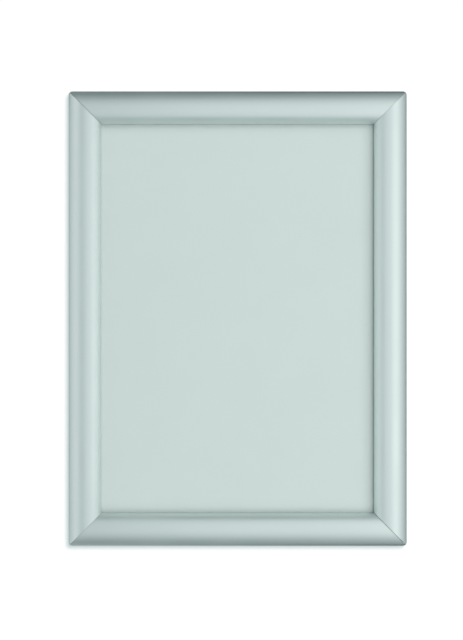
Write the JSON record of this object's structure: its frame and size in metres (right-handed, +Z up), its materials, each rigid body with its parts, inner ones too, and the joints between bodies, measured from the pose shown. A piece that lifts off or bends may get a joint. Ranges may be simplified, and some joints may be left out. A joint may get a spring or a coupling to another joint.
{
  "type": "clip frame",
  "caption": "Snap-open wall frame with mitred satin aluminium rails that hinge outward to change the sheet behind a clear cover.",
  "frame": {"origin": "middle of the four wall screw holes, on the wall plane", "axes": "+Z up, +X to the right seen from the front, +Y into the wall, so the front faces -Y"},
  "size_m": [0.2526, 0.0115, 0.3396],
  "materials": {
    "front_aluminium": "satin anodised",
    "base_aluminium": "satin anodised",
    "key_steel": "zinc plated",
    "screw_steel": "black oxide",
    "spring_steel": "blued spring strip",
    "panel_board": "matt",
    "cover_film": "anti-glare"
  },
  "bodies": {
    "base": {"base_rail_top": "base_aluminium", "base_rail_bottom": "base_aluminium", "base_rail_left": "base_aluminium", "base_rail_right": "base_aluminium", "corner_key_top_left": "key_steel", "corner_key_top_right": "key_steel", "corner_key_bottom_left": "key_steel", "corner_key_bottom_right": "key_steel", "key_screws_top_left": "screw_steel", "key_screws_top_right": "screw_steel", "key_screws_bottom_left": "screw_steel", "key_screws_bottom_right": "screw_steel", "leaf_spring_top_left": "spring_steel", "leaf_spring_top_right": "spring_steel", "leaf_spring_bottom_left": "spring_steel", "leaf_spring_bottom_right": "spring_steel", "leaf_spring_left_lower": "spring_steel", "leaf_spring_left_middle": "spring_steel", "leaf_spring_left_upper": "spring_steel", "leaf_spring_right_lower": "spring_steel", "leaf_spring_right_middle": "spring_steel", "leaf_spring_right_upper": "spring_steel", "back_panel": "panel_board", "cover_sheet": "cover_film"},
    "top_rail": {"snap_rail_top": "front_aluminium"},
    "bottom_rail": {"snap_rail_bottom": "front_aluminium"},
    "left_rail": {"snap_rail_left": "front_aluminium"},
    "right_rail": {"snap_rail_right": "front_aluminium"}
  },
  "joints": [
    {"name": "top_rail_hinge", "type": "hinge", "parent": "base", "child": "top_rail", "pos_m": [0, -0.005, 0.16752], "axis": [-1, 0, 0], "range_deg": [0, 95], "deforming": ["leaf_spring_top_left", "leaf_spring_top_right"]},
    {"name": "bottom_rail_hinge", "type": "hinge", "parent": "base", "child": "bottom_rail", "pos_m": [0, -0.005, -0.16752], "axis": [1, 0, 0], "range_deg": [0, 95], "deforming": ["leaf_spring_bottom_left", "leaf_spring_bottom_right"]},
    {"name": "left_rail_hinge", "type": "hinge", "parent": "base", "child": "left_rail", "pos_m": [-0.12402, -0.005, 0], "axis": [0, 0, -1], "range_deg": [0, 95], "deforming": ["leaf_spring_left_lower", "leaf_spring_left_middle", "leaf_spring_left_upper"]},
    {"name": "right_rail_hinge", "type": "hinge", "parent": "base", "child": "right_rail", "pos_m": [0.12402, -0.005, 0], "axis": [0, 0, 1], "range_deg": [0, 95], "deforming": ["leaf_spring_right_lower", "leaf_spring_right_middle", "leaf_spring_right_upper"]}
  ]
}
